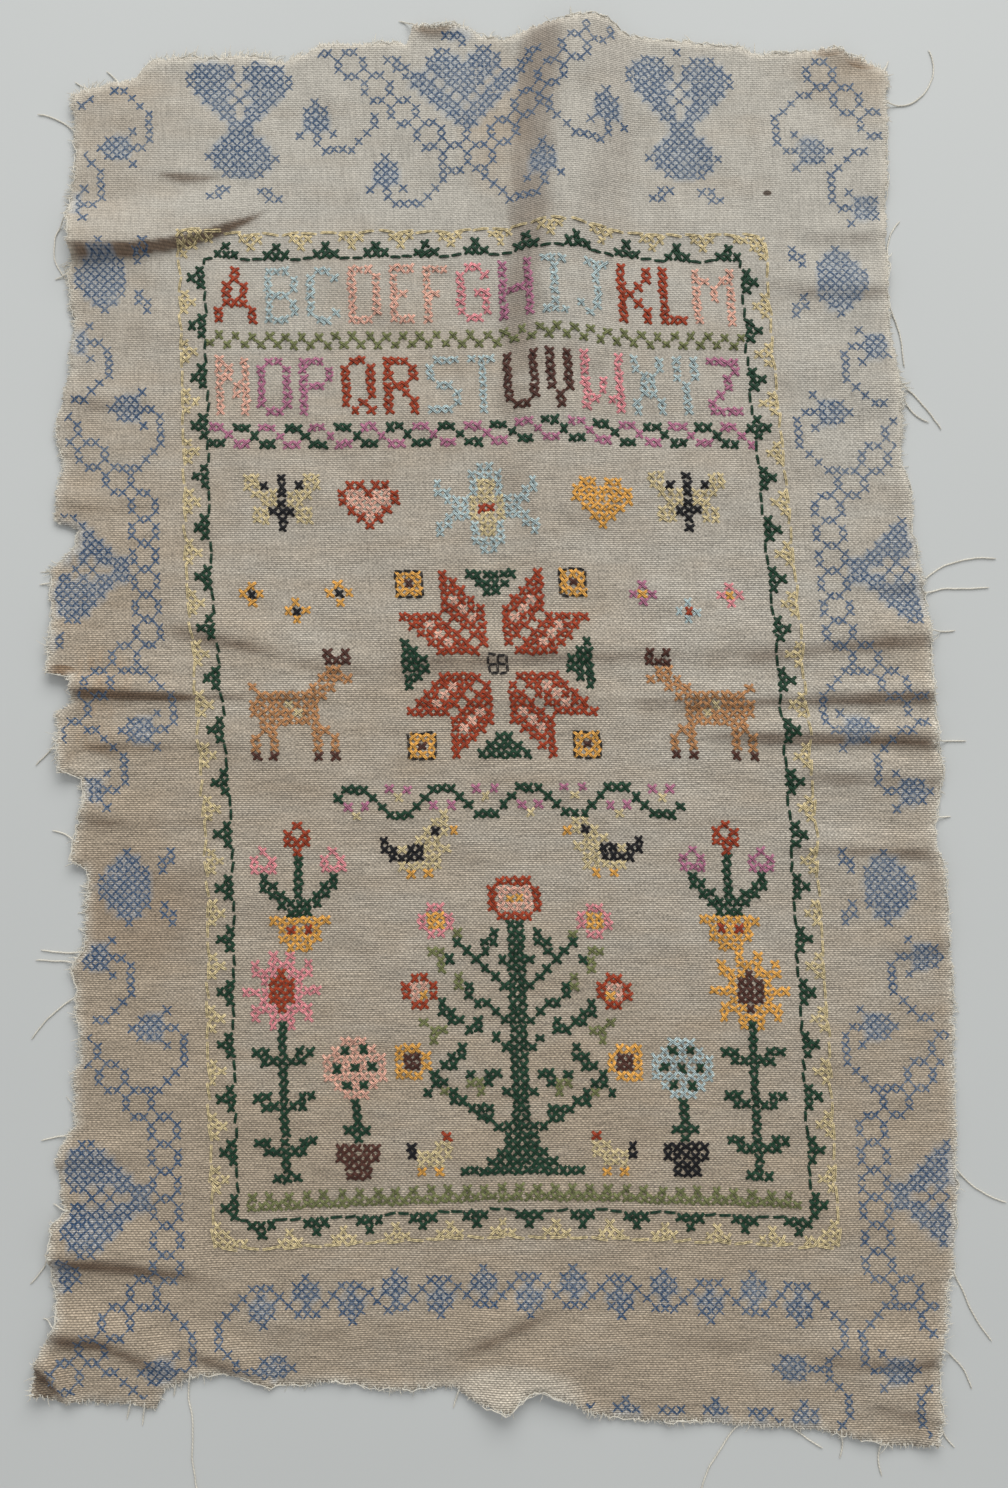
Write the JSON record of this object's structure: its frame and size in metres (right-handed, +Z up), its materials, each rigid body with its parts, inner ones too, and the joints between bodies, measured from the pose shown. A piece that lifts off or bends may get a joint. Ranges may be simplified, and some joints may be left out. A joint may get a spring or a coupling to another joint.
{
  "type": "unframed cross stitch sampler cloth",
  "caption": "Flat unframed linen cross stitch sampler with torn, ravelled edges, soft fold creases, a stitched field and a wide printed margin.",
  "frame": {"origin": "on the surface that the cloth lies on, near the middle of the cloth, under its flat underside", "axes": "+X to the right of the sampler, +Y to its top, along the longest side, +Z up out of its worked face"},
  "size_m": [0.3628, 0.5668, 0.0106],
  "materials": {
    "linen": "matte plain weave linen, oatmeal, browner down the left side",
    "ravelled_linen": "matte loose linen threads, paler than the cloth"
  },
  "bodies": {
    "root": {"linen_ground": "linen", "frayed_edge_top": "ravelled_linen", "frayed_edge_right": "ravelled_linen", "frayed_edge_bottom": "ravelled_linen", "frayed_edge_left": "ravelled_linen"}
  },
  "joints": []
}
